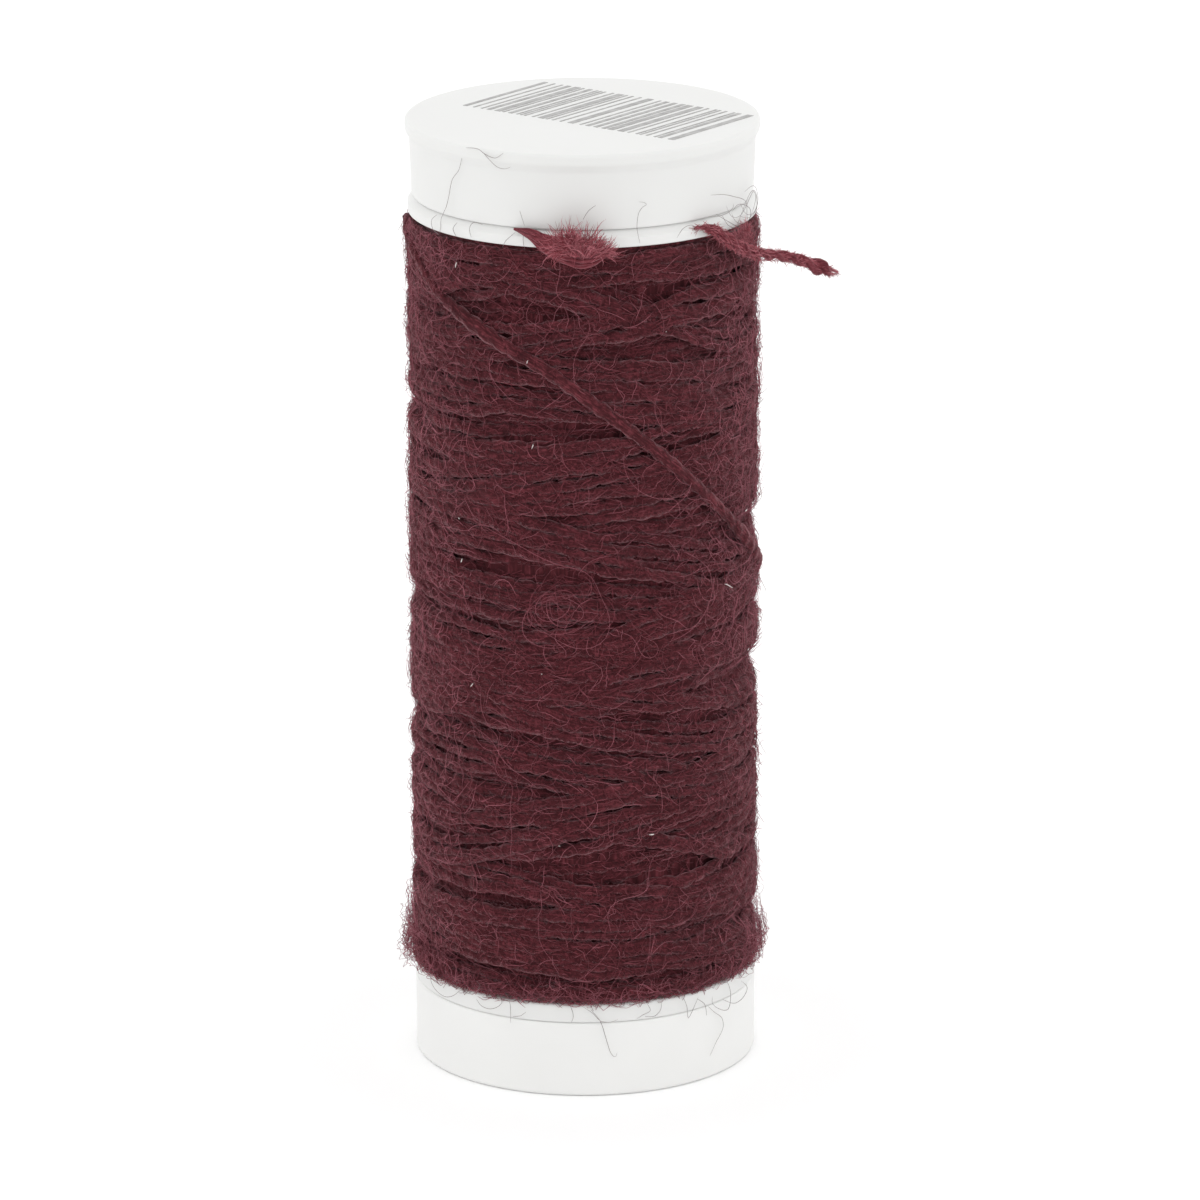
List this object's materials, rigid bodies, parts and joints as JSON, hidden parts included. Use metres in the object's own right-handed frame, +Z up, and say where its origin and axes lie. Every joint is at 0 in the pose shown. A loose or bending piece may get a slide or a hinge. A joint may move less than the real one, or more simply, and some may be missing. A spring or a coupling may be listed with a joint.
{
  "type": "spool of sock reinforcement yarn",
  "caption": "White capped plastic spool wound with fuzzy two-ply wool yarn for reinforcing sock heels and toes, with its yarn ends out from under the cap.",
  "frame": {"origin": "middle of the flat foot under the base cap, on the spool's axis", "axes": "+Z up along the spool's axis; the side seen in the picture faces -Y, and the loose end stands out on the +X side"},
  "size_m": [0.0273, 0.0248, 0.061],
  "materials": {
    "white_plastic": "moulded white polypropylene, satin",
    "wool_yarn": "two-ply wool blend yarn, dark burgundy, fuzzy"
  },
  "bodies": {
    "root": {"spool_core": "white_plastic", "top_cap": "white_plastic", "base_cap": "white_plastic", "yarn_winding": "wool_yarn", "loose_end": "wool_yarn", "frayed_end": "wool_yarn"}
  },
  "joints": []
}
